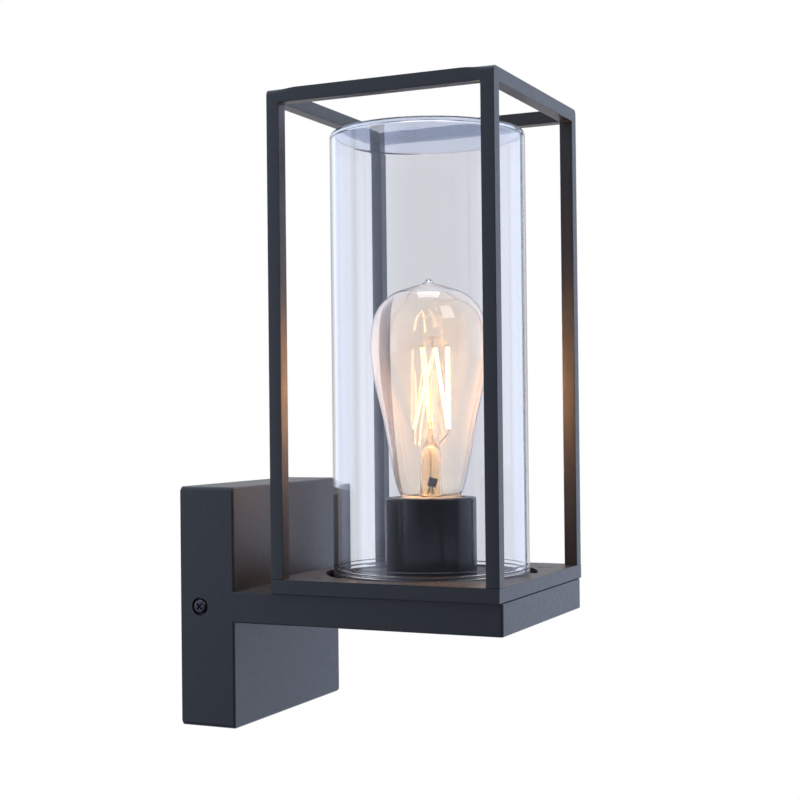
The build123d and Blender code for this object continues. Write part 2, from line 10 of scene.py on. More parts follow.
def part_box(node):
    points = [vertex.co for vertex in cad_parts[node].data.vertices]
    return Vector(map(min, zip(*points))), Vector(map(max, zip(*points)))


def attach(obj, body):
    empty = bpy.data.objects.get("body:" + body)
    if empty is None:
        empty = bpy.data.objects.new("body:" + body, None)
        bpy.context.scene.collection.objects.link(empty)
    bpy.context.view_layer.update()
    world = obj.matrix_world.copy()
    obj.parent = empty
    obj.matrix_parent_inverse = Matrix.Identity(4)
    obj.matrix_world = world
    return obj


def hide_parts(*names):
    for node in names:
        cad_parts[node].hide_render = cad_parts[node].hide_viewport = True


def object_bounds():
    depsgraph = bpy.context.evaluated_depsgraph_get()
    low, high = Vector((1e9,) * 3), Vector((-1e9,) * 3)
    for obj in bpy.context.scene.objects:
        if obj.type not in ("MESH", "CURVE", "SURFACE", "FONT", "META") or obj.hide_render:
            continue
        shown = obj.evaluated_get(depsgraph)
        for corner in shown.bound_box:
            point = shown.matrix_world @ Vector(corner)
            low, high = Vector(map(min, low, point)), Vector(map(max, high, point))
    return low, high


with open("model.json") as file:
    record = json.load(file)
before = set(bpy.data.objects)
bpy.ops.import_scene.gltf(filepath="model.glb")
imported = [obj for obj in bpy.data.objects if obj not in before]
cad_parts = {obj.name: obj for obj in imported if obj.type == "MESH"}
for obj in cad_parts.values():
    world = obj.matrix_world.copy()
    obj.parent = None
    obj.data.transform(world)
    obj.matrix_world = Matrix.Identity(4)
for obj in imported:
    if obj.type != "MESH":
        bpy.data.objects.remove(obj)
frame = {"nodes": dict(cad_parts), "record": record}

CAD_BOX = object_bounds()
MM = 0.001

# ---------------------------------------------------------------- places, from the frame
plate_lo, plate_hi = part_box("floor_plate")
shade_lo, shade_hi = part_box("shade")
ring_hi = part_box("shade_ring")[1]
skirt_lo, skirt_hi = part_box("lampholder_skirt")
glass_lo, glass_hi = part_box("bulb_glass")
stem_lo, stem_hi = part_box("bulb_stem")
cap_lo, cap_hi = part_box("bulb_cap")
shell_lo, shell_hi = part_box("lampholder_shell")
top_lo, top_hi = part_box("rail_front")
post_lo, post_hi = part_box("post_front_left")
AXIS = Vector(((shade_lo.x + shade_hi.x) / 2, (skirt_lo.y + skirt_hi.y) / 2, 0))
BAR = post_hi.x - post_lo.x


# ---------------------------------------------------------------- small tools for node materials
class Graph:
    """A material's node tree, with short calls for the nodes used here."""

    def __init__(self, name):
        self.material = bpy.data.materials.new(name)
        self.material.use_nodes = True
        self.tree = self.material.node_tree
        self.shader = self.tree.nodes["Principled BSDF"]
        self.output = self.tree.nodes["Material Output"]
        self.where = self.add("ShaderNodeTexCoord").outputs["Object"]

    def add(self, kind):
        """New node of a kind."""
        return self.tree.nodes.new(kind)

    def link(self, source, target):
        """Wire one socket to another."""
        self.tree.links.new(source, target)

    def set(self, **values):
        """Constant values straight on the shader's own sockets."""
        for key, value in values.items():
            self.shader.inputs[key.replace("_", " ")].default_value = value

    def noise(self, size_mm, detail=3.0, rough=0.55, stretch=(1, 1, 1)):
        """Noise whose features are about size_mm across."""
        place = self.add("ShaderNodeMapping")
        place.inputs["Scale"].default_value = stretch
        self.link(self.where, place.inputs["Vector"])
        node = self.add("ShaderNodeTexNoise")
        node.inputs["Scale"].default_value = 1 / (size_mm * MM)
        node.inputs["Detail"].default_value = detail
        node.inputs["Roughness"].default_value = rough
        self.link(place.outputs["Vector"], node.inputs["Vector"])
        return node.outputs["Fac"]

    def spread(self, value, low, high):
        """Map the middle of a noise, 0.3 to 0.7, between two numbers."""
        node = self.add("ShaderNodeMapRange")
        node.inputs["From Min"].default_value = 0.3
        node.inputs["From Max"].default_value = 0.7
        node.inputs["To Min"].default_value = low
        node.inputs["To Max"].default_value = high
        self.link(value, node.inputs["Value"])
        return node.outputs["Result"]

    def colours(self, value, *stops):
        """Colour ramp from (position, colour) stops."""
        node = self.add("ShaderNodeValToRGB")
        ramp = node.color_ramp
        while len(ramp.elements) < len(stops):
            ramp.elements.new(0.5)
        for element, (place, colour) in zip(ramp.elements, stops):
            element.position = place
            element.color = (*colour, 1)
        self.link(value, node.inputs["Fac"])
        return node.outputs["Color"]

    def bump(self, height, depth_mm, strength, under=None):
        """Surface normal from a height, on top of another normal where one is given."""
        node = self.add("ShaderNodeBump")
        node.inputs["Strength"].default_value = strength
        node.inputs["Distance"].default_value = depth_mm * MM
        self.link(height, node.inputs["Height"])
        if under:
            self.link(under, node.inputs["Normal"])
        return node.outputs["Normal"]

    def wear(self, size_mm, low, high, detail=3.0):
        """Uneven roughness."""
        self.link(self.spread(self.noise(size_mm, detail), low, high), self.shader.inputs["Roughness"])


def powder_coat():
    """Satin blue-black powder coat: fine orange peel over the slightly uneven casting."""
    g = Graph("powder_coat")
    grain = g.noise(0.38, detail=3, rough=0.6)
    cast = g.noise(7.0, detail=2)
    tint = g.colours(
        g.noise(3.5, detail=6, rough=0.7), (0.3, (0.0125, 0.0126, 0.0145)), (0.72, (0.0175, 0.0177, 0.0197)),
    )
    g.link(tint, g.shader.inputs["Base Color"])
    g.wear(2.4, 0.36, 0.44, detail=5)
    low = g.bump(cast, 0.06, 0.22)
    g.link(g.bump(grain, 0.014, 0.28, low), g.shader.inputs["Normal"])
    g.set(IOR=1.5)
    return g.material


def plastic(name, dark, light, rough, grain_mm=0.4, depth=0.02):
    """Moulded plastic, rubber or ceramic with a fine surface."""
    g = Graph(name)
    g.link(g.colours(g.noise(3.0, detail=4), (0.3, dark), (0.7, light)), g.shader.inputs["Base Color"])
    g.wear(1.5, rough - 0.04, rough + 0.05)
    g.link(g.bump(g.noise(grain_mm, detail=3), depth, 0.4), g.shader.inputs["Normal"])
    return g.material


def metal(name, dark, light, rough, stretch=(1, 1, 1), grain_mm=0.3, depth=0.01):
    """Bare metal with drawing or plating marks."""
    g = Graph(name)
    tint = g.colours(g.noise(1.2, detail=5, stretch=stretch), (0.3, dark), (0.7, light))
    g.link(tint, g.shader.inputs["Base Color"])
    g.set(Metallic=1.0)
    g.wear(0.8, rough - 0.05, rough + 0.08)
    g.link(g.bump(g.noise(grain_mm, detail=3, stretch=stretch), depth, 0.5), g.shader.inputs["Normal"])
    return g.material


def clear(name, colour, ior, ripple_mm, depth, through=1.0, stretch=(1, 1, 1)):
    """Clear body with faint flow marks. What does not go through scatters as a thin haze."""
    g = Graph(name)
    g.set(Base_Color=(*colour, 1), Transmission_Weight=through, IOR=ior, Roughness=0.0)
    g.link(g.bump(g.noise(ripple_mm, detail=1, stretch=stretch), depth, 0.3), g.shader.inputs["Normal"])
    return g.material


def glowing(name, strength, dark, light):
    """Light strip: phosphor coat over a row of tiny lamps."""
    g = Graph(name)
    g.link(g.colours(g.noise(1.6, detail=2), (0.35, dark), (0.65, light)), g.shader.inputs["Emission Color"])
    g.set(Base_Color=(1.0, 0.7, 0.3, 1), Emission_Strength=strength, Roughness=0.6)
    return g.material


MATERIALS = {
    "powder_coat": powder_coat(),
    "zinc_plate": metal("zinc_plate", (0.50, 0.51, 0.52), (0.66, 0.67, 0.68), 0.38, (1, 1, 14)),
    "foam_seal": plastic("foam_seal", (0.018, 0.018, 0.018), (0.035, 0.035, 0.036), 0.85, 0.7, 0.15),
    "rubber": plastic("rubber", (0.018, 0.018, 0.018), (0.028, 0.028, 0.028), 0.62),
    "black_screw": metal("black_screw", (0.05, 0.05, 0.055), (0.10, 0.10, 0.11), 0.36),
    "screw_steel": metal("screw_steel", (0.48, 0.48, 0.50), (0.64, 0.64, 0.65), 0.30),
    "terminal_body": plastic("terminal_body", (0.70, 0.68, 0.60), (0.80, 0.78, 0.71), 0.45),
    "brass": metal("brass", (0.55, 0.38, 0.13), (0.70, 0.52, 0.22), 0.28),
    "black_plastic": plastic("black_plastic", (0.010, 0.010, 0.011), (0.018, 0.018, 0.019), 0.38),
    "gloss_black": plastic("gloss_black", (0.006, 0.006, 0.007), (0.009, 0.009, 0.010), 0.20, 6.0, 0.006),
    "ceramic": plastic("ceramic", (0.74, 0.68, 0.56), (0.84, 0.79, 0.68), 0.26),
    "wire_brown": plastic("wire_brown", (0.16, 0.06, 0.03), (0.22, 0.09, 0.05), 0.48),
    "wire_blue": plastic("wire_blue", (0.02, 0.08, 0.32), (0.03, 0.11, 0.42), 0.48),
    "wire_green": plastic("wire_green", (0.16, 0.34, 0.04), (0.24, 0.44, 0.07), 0.48),
    "clear_shade": clear("clear_shade", (0.85, 0.855, 0.885), 1.49, 14, 0.05, stretch=(1, 1, 0.25)),
    "amber_glass": clear("amber_glass", (0.985, 0.958, 0.895), 1.50, 9, 0.05, through=0.972),
    "stem_glass": clear("stem_glass", (0.98, 0.88, 0.72), 1.52, 3, 0.05, through=0.95),
    "filament": glowing("filament", 420.0, (1.0, 0.44, 0.15), (1.0, 0.52, 0.21)),
    "lead_wire": metal("lead_wire", (0.55, 0.52, 0.47), (0.68, 0.65, 0.60), 0.25),
    "getter": metal("getter", (0.025, 0.022, 0.02), (0.06, 0.05, 0.045), 0.55),
    "cap_metal": metal("cap_metal", (0.66, 0.66, 0.65), (0.80, 0.80, 0.79), 0.24, (1, 1, 6)),
    "black_glass": plastic("black_glass", (0.010, 0.010, 0.012), (0.018, 0.018, 0.020), 0.12),
    "solder": metal("solder", (0.45, 0.45, 0.46), (0.62, 0.62, 0.62), 0.35),
    "circuit": plastic("circuit", (0.04, 0.16, 0.07), (0.06, 0.22, 0.10), 0.40),
}
HALF_STRIP = glowing("filament_half", 14.0, (1.0, 0.46, 0.16), (1.0, 0.54, 0.22))
DIM_STRIP = glowing("filament_dim", 3.2, (1.0, 0.62, 0.22), (1.0, 0.72, 0.34))
SLOT_OF = {s["node"]: s["material_slot"] for s in frame["record"]["subparts"]}
for name, node in frame["nodes"].items():
    node.data.materials.clear()
    node.data.materials.append(MATERIALS[SLOT_OF[name]])


# ---------------------------------------------------------------- small tools for meshes
TINY = 1e-7             # metres: nearer than this is the same point


def finish_piece(name, mesh, body, slot, replaced=(), smooth=True):
    """Object from a mesh, riding on a body with a slot's material."""
    piece = bpy.data.objects.new(name, mesh)
    bpy.context.scene.collection.objects.link(piece)
    mesh.materials.clear()
    mesh.materials.append(MATERIALS[slot])
    for polygon in mesh.polygons:
        polygon.use_smooth = smooth
    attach(piece, body)
    if replaced:
        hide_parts(*replaced)
    return piece


def lathe(name, outline, segments, body, slot, replaced=(), closed=True):
    """Turned piece about the lantern axis from (radius, height) points in metres."""
    bm = bmesh.new()
    rings = []
    for r, z in outline:
        if r < TINY:
            rings.append([bm.verts.new((AXIS.x, AXIS.y, z))])
            continue
        turn = [2 * math.pi * k / segments for k in range(segments)]
        rings.append([bm.verts.new((AXIS.x + r * math.cos(a), AXIS.y + r * math.sin(a), z)) for a in turn])
    pairs = list(zip(rings, rings[1:]))
    if closed:
        pairs.append((rings[-1], rings[0]))
    for low, high in pairs:
        if len(low) == 1 and len(high) == 1:
            continue
        for k in range(segments):
            j = (k + 1) % segments
            if len(low) == 1:
                bm.faces.new((low[0], high[k], high[j]))
            elif len(high) == 1:
                bm.faces.new((low[k], high[0], low[j]))
            else:
                bm.faces.new((low[k], high[k], high[j], low[j]))
    bmesh.ops.recalc_face_normals(bm, faces=bm.faces)
    mesh = bpy.data.meshes.new(name)
    bm.to_mesh(mesh)
    bm.free()
    return finish_piece(name, mesh, body, slot, replaced)


NEARLY_STRAIGHT = math.radians(88)      # half of a corner's angle from which it is left as it is
MOST_OF_A_SIDE = 0.48                   # share of a side that one rounded corner may take


def rounded(points, radius, steps):
    """Round the corners of an outline of (r, z) points. Each radius is cut to what its two sides allow."""
    out = []
    count = len(points)
    for i, here in enumerate(points):
        r = radius[i]
        p = Vector(here)
        a = Vector(points[i - 1]) - p
        b = Vector(points[(i + 1) % count]) - p
        if r <= 0 or a.length < 1e-9 or b.length < 1e-9:
            out.append(tuple(p))
            continue
        half = a.angle(b) / 2
        if half > NEARLY_STRAIGHT:
            out.append(tuple(p))
            continue
        cut = min(r / math.tan(half), MOST_OF_A_SIDE * a.length, MOST_OF_A_SIDE * b.length)
        start = p + a.normalized() * cut
        end = p + b.normalized() * cut
        for k in range(steps + 1):
            t = k / steps
            out.append(tuple((1 - t) ** 2 * start + 2 * t * (1 - t) * p + t * t * end))
    return out


def apply_modifiers(piece):
    """Turn the piece with its modifiers into a plain mesh."""
    bpy.context.view_layer.update()
    shown = piece.evaluated_get(bpy.context.evaluated_depsgraph_get())
    mesh = bpy.data.meshes.new_from_object(shown)
    piece.modifiers.clear()
    piece.data = mesh


def bevel(piece, width, segments, angle):
    """Round the sharp edges a little and shade flat faces flat."""
    step = piece.modifiers.new("bevel", "BEVEL")
    step.width = width
    step.segments = segments
    step.limit_method = "ANGLE"
    step.angle_limit = math.radians(angle)
    step.harden_normals = True
    apply_modifiers(piece)


# ---------------------------------------------------------------- open frame, one welded piece
def cell_body(xs, ys, zs, solid):
    """Closed mesh around the solid cells of a grid, so that flush pieces have no seam."""
    bm = bmesh.new()
    corner = {}

    def vert(i, j, k):
        """The grid point's own vertex, made once."""
        if (i, j, k) not in corner:
            corner[i, j, k] = bm.verts.new((xs[i], ys[j], zs[k]))
        return corner[i, j, k]

    cells = {
        (i, j, k)
        for i in range(len(xs) - 1) for j in range(len(ys) - 1) for k in range(len(zs) - 1)
        if solid(i, j, k)
    }
    steps = ((0, -1), (0, 1), (1, -1), (1, 1), (2, -1), (2, 1))
    for cell in sorted(cells):
        for axis, way in steps:
            beside = list(cell)
            beside[axis] += way
            if tuple(beside) in cells:
                continue
            a, b = [n for n in range(3) if n != axis]
            loop = []
            for da, db in ((0, 0), (1, 0), (1, 1), (0, 1)):
                spot = list(cell)
                spot[axis] += way > 0
                spot[a] += da
                spot[b] += db
                loop.append(vert(*spot))
            bm.faces.new(loop)
    bmesh.ops.recalc_face_normals(bm, faces=bm.faces)
    return bm


def open_frame():
    """Four posts and four top rails as one welded piece, with softened outer corners at the rail ends."""
    half = top_hi.x
    reach = 3.0 * MM        # corner radius at the rail ends
    fade = 14 * MM          # length over which it runs out along the side rails
    edge_steps = 6
    fade_steps = 8
    edge = [reach * k / edge_steps for k in range(edge_steps + 1)]
    run = [BAR + fade * k / fade_steps for k in range(fade_steps + 1)]
    xs = [-half + e for e in edge] + [-half + BAR, half - BAR] + [half - e for e in reversed(edge)]
    ys = [plate_lo.y, plate_lo.y + BAR / 2] + [plate_lo.y + r for r in run]
    ys += [plate_hi.y - r for r in reversed(run)] + [plate_hi.y - BAR / 2, plate_hi.y]
    zs = [plate_hi.z, top_lo.z] + [top_hi.z - e for e in reversed(edge)]

    def solid(i, j, k):
        x = abs(xs[i] + xs[i + 1]) / 2
        y = (ys[j] + ys[j + 1]) / 2
        edge_x = x > half - BAR
        edge_y = min(y - plate_lo.y, plate_hi.y - y) < BAR
        return (edge_x and edge_y) if k == 0 else (edge_x or edge_y)

    bm = cell_body(xs, ys, zs, solid)
    for vert in bm.verts:
        inward = min(vert.co.y - plate_lo.y, plate_hi.y - vert.co.y)
        share = max(0.0, min(1.0, (inward - BAR / 2) / fade))
        radius = reach * (1 - share * share * (3 - 2 * share))
        u = abs(vert.co.x) - (half - reach)
        v = vert.co.z - (top_hi.z - reach)
        if radius < 0.01 * MM or u <= 0 or v <= 0:
            continue
        squeeze = math.hypot(u, v) / max(u, v)
        pull = (radius / reach) * (1 - 1 / squeeze)
        vert.co.x -= math.copysign(u * pull, vert.co.x)
        vert.co.z -= v * pull
    mesh = bpy.data.meshes.new("open_frame")
    bm.to_mesh(mesh)
    bm.free()
    names = [n for n in frame["nodes"] if n.startswith(("post_", "rail_"))]
    piece = finish_piece("open_frame", mesh, "base", "powder_coat", names, smooth=False)
    bevel(piece, 0.45 * MM, segments=2, angle=50)
    for polygon in piece.data.polygons:
        polygon.use_smooth = True
    piece.modifiers.new("even", "WEIGHTED_NORMAL").weight = 100
    apply_modifiers(piece)


open_frame()

# ---------------------------------------------------------------- shade
shade_r = (shade_hi.x - shade_lo.x) / 2 - 0.2 * MM      # leaves 0.2 mm for the beads
shade_wall = 2.4 * MM
inside_r = shade_r - shade_wall
ceiling_z = shade_hi.z - shade_wall
foot_z = ring_hi.z + 0.05 * MM
plug_r = shade_r - 0.9 * MM         # the part that goes down into the ring
bead_r = shade_r + 0.18 * MM        # two beads round the foot
groove_r = shade_r - 0.45 * MM      # and the groove between them
shade_outline = rounded(
    [
        (0, shade_hi.z), (shade_r, shade_hi.z),
        (shade_r, foot_z + 4.2 * MM), (bead_r, foot_z + 3.7 * MM), (bead_r, foot_z + 2.1 * MM),
        (groove_r, foot_z + 1.9 * MM), (bead_r, foot_z + 1.7 * MM), (bead_r, foot_z),
        (plug_r, foot_z), (plug_r, shade_lo.z),
        (inside_r, shade_lo.z), (inside_r, ceiling_z), (0, ceiling_z),
    ],
    [
        0, 2.6 * MM, 0.4 * MM, 0.5 * MM, 0.5 * MM, 0.1 * MM, 0.5 * MM, 0.6 * MM, 0.1 * MM, 0.3 * MM,
        0.3 * MM, 1.4 * MM, 0,
    ],
    steps=6,
)
shade = lathe("shade_body", shade_outline, 256, "shade", "clear_shade", ["shade"], closed=False)
shade.visible_shadow = False

# ---------------------------------------------------------------- lamp holder
skirt_r = (skirt_hi.x - skirt_lo.x) / 2
mouth_r = 18.4 * MM
chamber_r = skirt_r - 2.5 * MM      # inside, under the mouth
foot_r = skirt_r - 3.2 * MM         # inside, at the foot
foot_top = skirt_lo.z + 3 * MM
skirt_outline = rounded(
    [
        (foot_r, skirt_lo.z), (skirt_r, skirt_lo.z), (skirt_r, skirt_hi.z), (mouth_r, skirt_hi.z),
        (mouth_r, skirt_hi.z - 3.2 * MM), (chamber_r, skirt_hi.z - 5.2 * MM),
        (chamber_r, foot_top), (foot_r, foot_top),
    ],
    [0, 0.4 * MM, 1.3 * MM, 0.7 * MM, 0.2 * MM, 0.2 * MM, 0, 0],
    steps=5,
)
lathe("holder_skirt", skirt_outline, 160, "base", "gloss_black", ["lampholder_skirt"])


# ---------------------------------------------------------------- lamp
def smooth_curve(points, steps):
    """Smooth line through (radius, height) points."""
    p = [Vector(point) for point in points]
    out = []
    for i in range(len(p) - 1):
        before = p[max(i - 1, 0)]
        after = p[min(i + 2, len(p) - 1)]
        span = (p[i + 1] - p[i]).length
        lean_a = (p[i + 1] - before).normalized() * span
        lean_b = (after - p[i]).normalized() * span
        for k in range(steps):
            t = k / steps
            out.append(
                (2 * t**3 - 3 * t**2 + 1) * p[i] + (t**3 - 2 * t**2 + t) * lean_a
                + (3 * t**2 - 2 * t**3) * p[i + 1] + (t**3 - t**2) * lean_b
            )
    return out + [p[-1]]


def inset(line, depth):
    """The same line moved to its left by depth."""
    out = []
    for i, here in enumerate(line):
        along = (line[min(i + 1, len(line) - 1)] - line[max(i - 1, 0)]).normalized()
        out.append(here + Vector((-along.y, along.x)) * depth)
    return out


# Outlines in mm: (radius, height above the foot) for the glass and the stem, (radius, depth under the top)
# for the sealed-off pip.
GLASS_SIDE = (
    (13.3, 0), (17.6, 6.3), (21.0, 20.7), (24.9, 42.7), (29.9, 65.2),
    (31.9, 84.2), (28.6, 101.0), (20.2, 110.4), (9.6, 114.5),
)
PIP_OUTSIDE = ((9.6, 4.5), (5.6, 3.3), (3.3, 2.5), (1.7, 1.2), (0.9, 0.2), (0, 0.02))
PIP_INSIDE = ((5.4, 4.0), (2.6, 3.1), (1.0, 2.0), (0, 1.3))
STEM_OUTSIDE = ((6.05, 0), (5.8, 6), (5.5, 13), (5.2, 22), (4.4, 26.0), (2.6, 29.0), (1.5, 33.0), (1.3, 39.8))
STEM_INSIDE = ((5.2, 0), (4.9, 6), (4.6, 13), (4.3, 21), (3.0, 25), (0, 26.6))
GLASS_WALL = 0.75 * MM


def bulb_glass():
    """Pear-shaped glass with a thin wall and the sealed-off pip on top."""
    widest = (glass_hi.x - glass_lo.x) / 2 - 0.02 * MM
    scale = widest / (max(r for r, h in GLASS_SIDE) * MM)
    side = smooth_curve([(r * MM * scale, glass_lo.z + h * MM) for r, h in GLASS_SIDE], steps=8)
    top = glass_hi.z
    pip = smooth_curve([(r * MM, top - depth * MM) for r, depth in PIP_OUTSIDE], steps=5)
    outer = side + pip[1:]
    inner = inset(side, GLASS_WALL)
    dimple = [(r * MM, top - depth * MM) for r, depth in PIP_INSIDE]
    hollow = smooth_curve([tuple(inner[-1])] + dimple, steps=5)
    inner = inner + hollow[1:]
    inner[0] = Vector((inner[0].x, outer[0].y))
    outline = [tuple(v) for v in outer] + [tuple(v) for v in reversed(inner)]
    glass = lathe("bulb_envelope", outline, 192, "bulb", "amber_glass", ["bulb_glass"])
    glass.visible_shadow = False


bulb_glass()


def stem():
    """Open glass tube, pressed shut round the wires at its top."""
    outer = smooth_curve([(r * MM, stem_lo.z + h * MM) for r, h in STEM_OUTSIDE], steps=5)
    outer.append(Vector((0, stem_hi.z - 0.05 * MM)))
    inner = smooth_curve([(r * MM, stem_lo.z + h * MM) for r, h in STEM_INSIDE], steps=5)
    outline = [tuple(v) for v in outer] + [tuple(v) for v in reversed(inner)]
    tube = lathe("stem_tube", outline, 96, "bulb", "stem_glass", ["bulb_stem"])
    tube.visible_shadow = False


stem()


def islands(name):
    """The separate bodies of a CAD node, each as a list of points."""
    node = frame["nodes"][name]
    bm = bmesh.new()
    bm.from_mesh(node.data)
    bmesh.ops.remove_doubles(bm, verts=bm.verts, dist=TINY)
    seen = set()
    groups = []
    for first in bm.verts:
        if first.index in seen:
            continue
        seen.add(first.index)
        queue = [first]
        group = []
        while queue:
            vert = queue.pop()
            group.append(node.matrix_world @ vert.co)
            for link in vert.link_edges:
                other = link.other_vert(vert)
                if other.index not in seen:
                    seen.add(other.index)
                    queue.append(other)
        groups.append(group)
    bm.free()
    return groups


def sweep_section(bm, path, section, spin):
    """Closed tube of a (sideways, outwards) section along a list of points. Sideways is square to spin."""
    rings = []
    for i, here in enumerate(path):
        along = (path[min(i + 1, len(path) - 1)] - path[max(i - 1, 0)]).normalized()
        across = along.cross(spin).normalized()
        out = across.cross(along).normalized()
        rings.append([bm.verts.new(here + across * a + out * b) for a, b in section])
    count = len(section)
    for low, high in zip(rings, rings[1:]):
        for k in range(count):
            bm.faces.new((low[k], low[(k + 1) % count], high[(k + 1) % count], high[k]))
    bm.faces.new(rings[0])
    bm.faces.new(rings[-1])


def circle(radius, count, flat=1.0):
    """Section with count points, flattened outwards."""
    return [
        (radius * math.cos(2 * math.pi * k / count), radius * flat * math.sin(2 * math.pi * k / count))
        for k in range(count)
    ]


def mesh_piece(name, bm, body, slot, replaced=(), smooth=True):
    """Object from a bmesh, which is used up."""
    bmesh.ops.recalc_face_normals(bm, faces=bm.faces)
    mesh = bpy.data.meshes.new(name)
    bm.to_mesh(mesh)
    bm.free()
    return finish_piece(name, mesh, body, slot, replaced, smooth)


STRIP_ENDS = 3.0        # mm from an end: CAD points this near to it give its middle
STRIP_START = 1.2       # mm from the CAD strip's low end to the strip's own
STRIP_SHARE = 0.95      # of the CAD strip's length
STRIP_STEPS = 10
STRIP_R = 1.45 * MM
TAB_R = 0.8 * MM
LEAD_R = 0.42 * MM


def light_strips():
    """Four flat strips with metal tabs at their ends. The front left is brightest, then the front right."""
    made = {}
    looks = {"strip_bright": MATERIALS["filament"], "strip_half": HALF_STRIP, "strips_dim": DIM_STRIP}
    tabs = bmesh.new()
    for points in islands("bulb_filaments"):
        low_z = min(p.z for p in points)
        high_z = max(p.z for p in points)
        ends = []
        for level in (low_z, high_z):
            near = [p for p in points if abs(p.z - level) < STRIP_ENDS * MM]
            ends.append(sum(near, Vector()) / len(near))
        low, high = ends
        along = (high - low).normalized()
        mid = (low + high) / 2 - AXIS
        spin = mid.cross(along).cross(along)
        start = low + along * STRIP_START * MM
        core = [start + (high - low) * k * STRIP_SHARE / STRIP_STEPS for k in range(STRIP_STEPS + 1)]
        look = "strips_dim" if mid.y > 0 else "strip_bright" if mid.x < 0 else "strip_half"
        made.setdefault(look, bmesh.new())
        sweep_section(made[look], core, circle(STRIP_R, count=16, flat=0.55), spin)
        for end, way in ((core[0], -1), (core[-1], 1)):
            tab = [end - along * way * 0.4 * MM, end + along * way * 1.5 * MM]
            sweep_section(tabs, tab, circle(TAB_R, count=8, flat=0.3), spin)
    for look in sorted(made):
        replaced = ["bulb_filaments"] if look == "strip_bright" else ()
        strip = mesh_piece(look, made[look], "bulb", "filament", replaced)
        strip.data.materials[0] = looks[look]
    mesh_piece("strip_tabs", tabs, "bulb", "lead_wire", smooth=False)


light_strips()


def smooth_path(points, steps):
    """Smooth line through points in space."""
    out = []
    for i in range(len(points) - 1):
        before = points[max(i - 1, 0)]
        after = points[min(i + 2, len(points) - 1)]
        lean_a = (points[i + 1] - before) / 2
        lean_b = (after - points[i]) / 2
        for k in range(steps):
            t = k / steps
            out.append(
                (2 * t**3 - 3 * t**2 + 1) * points[i] + (t**3 - 2 * t**2 + t) * lean_a
                + (3 * t**2 - 2 * t**3) * points[i + 1] + (t**3 - t**2) * lean_b
            )
    return out + [points[-1]]


def stem_leads():
    """The two lead-in wires, from under the stem up to its press."""
    bm = bmesh.new()
    for side in (-1, 1):
        path = smooth_path([
            AXIS + Vector((side * 2.6 * MM, side * 1.2 * MM, stem_lo.z - 6 * MM)),
            AXIS + Vector((side * 2.9 * MM, side * 1.3 * MM, stem_lo.z + 6 * MM)),
            AXIS + Vector((side * 2.2 * MM, side * 0.8 * MM, stem_lo.z + 17 * MM)),
            AXIS + Vector((side * 1.3 * MM, side * 0.3 * MM, stem_lo.z + 25 * MM)),
        ], steps=6)
        sweep_section(bm, path, circle(LEAD_R, count=8), Vector((0.3, 0.9, 0.1)))
    mesh_piece("stem_leads", bm, "bulb", "lead_wire")


stem_leads()

# ---------------------------------------------------------------- rolled threads
PITCH = 3.629 * MM
ROWS_A_TURN = 12
SHEET = 0.35 * MM


def thread_tube(name, root, crest, plain_low, plain_high, lo_z, hi_z, body, slot, replaced):
    """Rolled sheet thread: a right-hand wave on both sides of the sheet, fading out at both ends."""
    bm = bmesh.new()
    segments = 72
    rows = int((hi_z - lo_z) / PITCH * ROWS_A_TURN)
    skins = []
    for inside in (0, SHEET):
        skin = []
        for i in range(rows + 1):
            z = lo_z + (hi_z - lo_z) * i / rows
            from_low = max(0.0, (z - lo_z - plain_low) / PITCH)
            from_high = max(0.0, (hi_z - plain_high - z) / PITCH)
            fade = min(1.0, from_low, from_high)
            fade = fade * fade * (3 - 2 * fade)
            line = []
            for k in range(segments):
                turn = 2 * math.pi * k / segments
                wave = 0.5 + 0.5 * math.cos(2 * math.pi * (z - lo_z) / PITCH - turn)
                r = crest - (crest - root) * wave * fade - inside
                line.append(bm.verts.new((AXIS.x + r * math.cos(turn), AXIS.y + r * math.sin(turn), z)))
            skin.append(line)
        skins.append(skin)
    outer, inner = skins
    loops = outer + inner[::-1]
    for low, high in zip(loops, loops[1:] + loops[:1]):
        for k in range(segments):
            j = (k + 1) % segments
            bm.faces.new((low[k], low[j], high[j], high[k]))
    mesh_piece(name, bm, body, slot, replaced)


cap_r = (cap_hi.x - cap_lo.x) / 2
thread_tube(
    "cap_thread", root=12.2 * MM, crest=cap_r - 0.02 * MM, plain_low=0.3 * MM, plain_high=4.6 * MM,
    lo_z=cap_lo.z, hi_z=cap_hi.z, body="bulb", slot="cap_metal", replaced=["bulb_cap"],
)
shell_r = (shell_hi.x - shell_lo.x) / 2
thread_tube(
    "holder_thread", root=shell_r - 0.55 * MM, crest=shell_r - 0.02 * MM,
    plain_low=1.0 * MM, plain_high=1.0 * MM,
    lo_z=shell_lo.z, hi_z=shell_hi.z, body="base", slot="brass", replaced=["lampholder_shell"],
)

# ---------------------------------------------------------------- camera, light and floor
CAMERA_AT = Vector((-0.7377, -0.4435, 0.1005))
LOOK_YAW = math.radians(65.18)      # from +Y towards +X
LOOK_PITCH = math.radians(0.55)
LOOK_ROLL = math.radians(-0.62)
LENS_MM = 67.605
SENSOR_MM = 36


